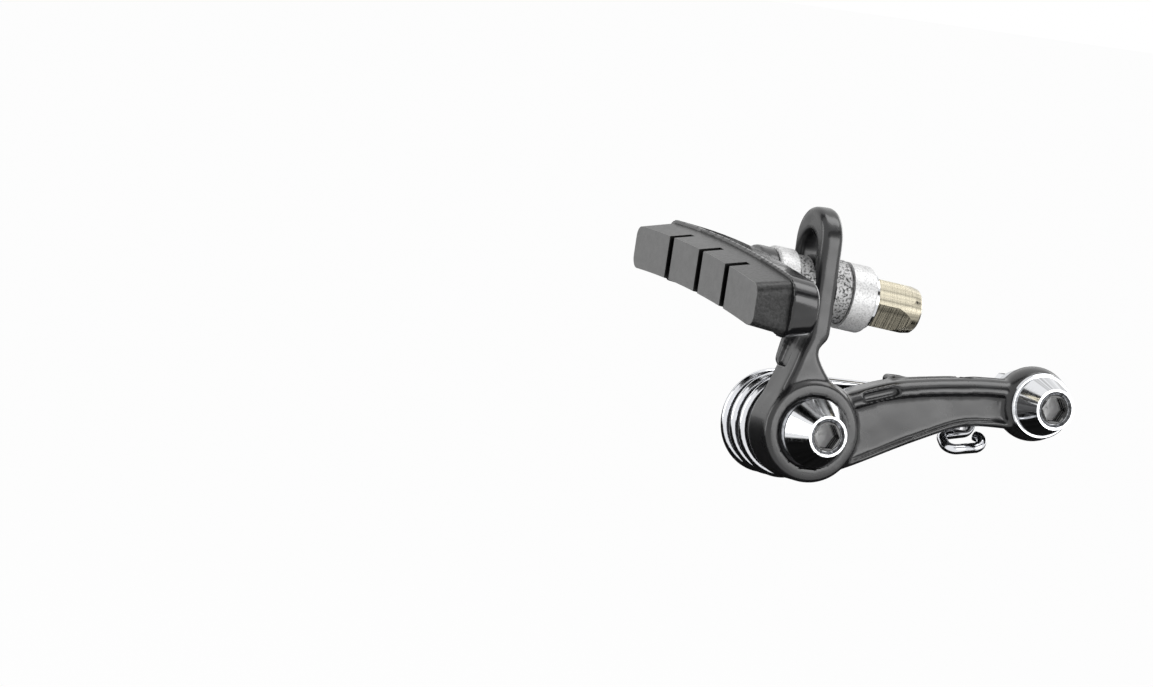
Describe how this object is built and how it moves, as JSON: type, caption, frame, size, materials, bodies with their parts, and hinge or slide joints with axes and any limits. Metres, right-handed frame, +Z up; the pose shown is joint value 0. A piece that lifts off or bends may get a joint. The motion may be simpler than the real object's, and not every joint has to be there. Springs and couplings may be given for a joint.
{
  "type": "cantilever brake",
  "caption": "Cantilever brake arm with a recessed lever, a slotted plate, a coiled return spring, a cable anchor and a grooved rubber pad on ball-joint washers.",
  "frame": {"origin": "on the pivot axis at the front end of the bush, where the pivot bolt's washer bears", "axes": "+X out along the lever towards the cable anchor, +Y from the front towards the bicycle's frame, along the pivot axis, +Z up along the slotted plate"},
  "size_m": [0.0876, 0.0716, 0.0578],
  "materials": {
    "arm_paint": "gloss",
    "shoe_paint": "gloss",
    "pad_rubber": "matte",
    "cup_blasted": "bead blasted",
    "dome_blasted": "bead blasted",
    "nut_nickel": "nickel plated, satin",
    "bolt_chrome": "polished",
    "washer_chrome": "polished",
    "spring_steel": "polished",
    "bush_steel": "satin",
    "stud_steel": "satin"
  },
  "bodies": {
    "frame_side": {"pivot_bush": "bush_steel", "pivot_bolt": "bolt_chrome", "pivot_washer": "washer_chrome"},
    "arm": {"brake_arm": "arm_paint", "return_spring": "spring_steel", "anchor_bolt": "bolt_chrome", "anchor_ring_washer": "washer_chrome", "cable_clamp_washer": "washer_chrome", "anchor_nut": "nut_nickel"},
    "adjuster": {"tension_screw": "stud_steel"},
    "domes": {"inner_dome_washer": "dome_blasted", "outer_dome_washer": "dome_blasted"},
    "cups": {"inner_cup_washer": "cup_blasted", "outer_cup_washer": "cup_blasted"},
    "pad": {"pad_stud": "stud_steel", "pad_shoe": "shoe_paint", "pad_rubber": "pad_rubber", "stud_flat_washer": "washer_chrome", "stud_nut": "nut_nickel"}
  },
  "joints": [
    {"name": "arm_pivot", "type": "hinge", "parent": "frame_side", "child": "arm", "pos_m": [0, 0.01, 0], "axis": [0, 1, 0], "range_deg": [-20, 15], "stiffness_Nm_per_rad": 1.2, "deforming": ["return_spring"]},
    {"name": "tension_screw_turn", "type": "slide", "parent": "arm", "child": "adjuster", "axis": [0, 0, 1], "range_m": [-0.0015, 0.002]},
    {"name": "pad_height", "type": "slide", "parent": "arm", "child": "domes", "axis": [0, 0, 1], "range_m": [-0.0016, 0.007]},
    {"name": "pad_toe", "type": "hinge", "parent": "domes", "child": "cups", "pos_m": [-0.00095, 0.0068, 0.0294], "axis": [0, 0, 1], "range_deg": [-6, 6]},
    {"name": "pad_pitch", "type": "hinge", "parent": "cups", "child": "pad", "pos_m": [-0.00095, 0.0068, 0.0294], "axis": [0.9957, 0, -0.0924], "range_deg": [-20, 20]}
  ]
}
